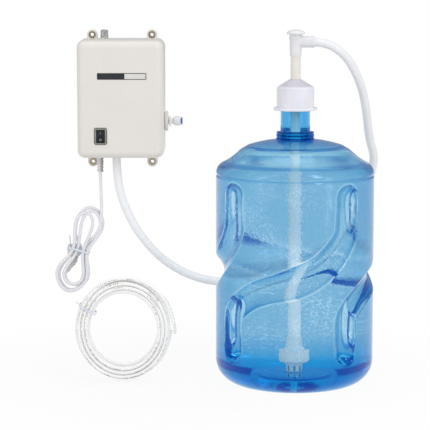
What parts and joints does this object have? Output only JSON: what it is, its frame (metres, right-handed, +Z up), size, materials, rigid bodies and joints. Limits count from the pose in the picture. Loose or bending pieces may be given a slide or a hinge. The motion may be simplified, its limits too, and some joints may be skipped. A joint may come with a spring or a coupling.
{
  "type": "bottled water pump system",
  "caption": "Wall-hung pump case with rocker switch and push-fit outlet, fed by a thick hose from a capped suction wand with foot valve in a large blue water bottle; tied cord and tubing coil.",
  "frame": {"origin": "centre of the case's four wall holes, on the wall's face", "axes": "+X to the right seen from the front, +Y into the wall, +Z up; the case and the bottle stand in front of the wall at y below 0"},
  "size_m": [0.5689, 0.295, 0.6058],
  "materials": {
    "case_plastic": "satin moulded, pale grey-white",
    "gasket_rubber": "black soft rubber",
    "eyelet_metal": "plated",
    "plate_black": "printed, no lettering",
    "switch_black": "fine grain",
    "rocker_black": "polished",
    "reset_metal": "plated",
    "phenolic": "moulded, dark",
    "flange_plastic": "satin, warm white",
    "fitting_white": "polished",
    "collet_blue": "polished",
    "relief_white": "satin",
    "motor_steel": "zinc plated",
    "bell_black": "glass filled",
    "bearing_steel": "ground",
    "magnet_dark": "ferrite",
    "shaft_steel": "ground",
    "core_steel": "stacked sheets",
    "copper": "enamelled",
    "carbon": "pressed",
    "head_black": "moulded",
    "wobble_plastic": "moulded",
    "bracket_steel": "zinc plated sheet",
    "screw_steel": "plated",
    "board_green": "lacquered",
    "board_part": "tape and plastic",
    "wire_coat": "smooth",
    "brass_pin": "turned",
    "hose_white": "smooth, slightly translucent",
    "tube_milky": "smooth, milky",
    "inner_tube": "smooth",
    "cord_white": "smooth",
    "tie_white": "flat wire tie",
    "plug_grey": "moulded",
    "blade_metal": "plated",
    "bottle_blue": "clear tinted, moulded",
    "cap_white": "satin",
    "wand_ivory": "polished",
    "foot_white": "moulded",
    "tee_grey": "polished",
    "knob_white": "polished",
    "spring_steel": "drawn",
    "poppet_rubber": "moulded"
  },
  "bodies": {
    "pump_and_bottle": {"back_shell": "case_plastic", "front_cover": "case_plastic", "case_seals": "gasket_rubber", "ear_eyelets": "eyelet_metal", "name_plate": "plate_black", "switch_housing": "switch_black", "reset_barrel": "reset_metal", "reset_body": "phenolic", "outlet_flange": "flange_plastic", "outlet_lock_nut": "flange_plastic", "outlet_fitting": "fitting_white", "outlet_oring": "gasket_rubber", "delivery_tube": "inner_tube", "hose_gland": "gasket_rubber", "strain_relief": "relief_white", "motor_can": "motor_steel", "motor_end_bell": "bell_black", "bearings": "bearing_steel", "motor_magnets": "magnet_dark", "brushes": "carbon", "drive_housing": "head_black", "wobble_plate": "wobble_plastic", "diaphragm": "gasket_rubber", "valve_plate": "head_black", "pump_cover": "head_black", "pressure_switch": "phenolic", "pump_bracket": "bracket_steel", "rubber_mounts": "gasket_rubber", "motor_band": "screw_steel", "power_board": "board_green", "screws": "screw_steel", "board_parts": "board_part", "wiring": "wire_coat", "suction_hose": "hose_white", "power_cord": "cord_white", "power_cord_hank": "cord_white", "hank_tie": "tie_white", "plug": "plug_grey", "plug_blades": "blade_metal", "tubing_coil": "tube_milky", "coil_tie": "tie_white", "bottle": "bottle_blue"},
    "rocker_body": {"rocker": "rocker_black"},
    "button_body": {"reset_button": "switch_black"},
    "rotor": {"eccentric_shaft": "shaft_steel", "armature_core": "core_steel", "windings_and_commutator": "copper"},
    "collet": {"outlet_collet": "collet_blue"},
    "sensor_plunger": {"pressure_plunger": "brass_pin"},
    "mouth_cap": {"cap": "cap_white", "cap_gasket": "gasket_rubber"},
    "wand": {"wand_tube": "wand_ivory", "tee": "tee_grey", "knob": "knob_white", "foot_adapter": "wand_ivory", "foot_barrel": "foot_white", "foot_strainer": "foot_white", "foot_seal": "gasket_rubber", "poppet_spring": "spring_steel"},
    "valve_poppet": {"poppet": "poppet_rubber"}
  },
  "joints": [
    {"name": "rocker_tilt", "type": "hinge", "parent": "pump_and_bottle", "child": "rocker_body", "pos_m": [-0.0341, -0.0974, -0.0595], "axis": [1, 0, 0], "range_deg": [0, 16]},
    {"name": "reset_press", "type": "slide", "parent": "pump_and_bottle", "child": "button_body", "axis": [0, 0, -1], "range_m": [0, 0.002], "stiffness_N_per_m": 200, "springref_m": -0.001},
    {"name": "rotor_spin", "type": "hinge", "parent": "pump_and_bottle", "child": "rotor", "pos_m": [0.007, -0.05, 0.02], "axis": [0, 0, 1], "continuous": true},
    {"name": "collet_press", "type": "slide", "parent": "pump_and_bottle", "child": "collet", "axis": [-1, 0, 0], "range_m": [0, 0.0012], "stiffness_N_per_m": 200, "springref_m": -0.001},
    {"name": "plunger_press", "type": "slide", "parent": "pump_and_bottle", "child": "sensor_plunger", "axis": [-1, 0, 0], "range_m": [0, 0.0008], "stiffness_N_per_m": 200, "springref_m": -0.001},
    {"name": "cap_lift", "type": "slide", "parent": "pump_and_bottle", "child": "mouth_cap", "axis": [0, 0, 1], "range_m": [0, 0.036]},
    {"name": "wand_slide", "type": "slide", "parent": "pump_and_bottle", "child": "wand", "axis": [0, 0, 1], "range_m": [0, 0.4], "deforming": ["suction_hose"]},
    {"name": "poppet_lift", "type": "slide", "parent": "wand", "child": "valve_poppet", "axis": [0, 0, 1], "range_m": [0, 0.003], "stiffness_N_per_m": 60, "springref_m": -0.002, "deforming": ["poppet_spring"]}
  ]
}
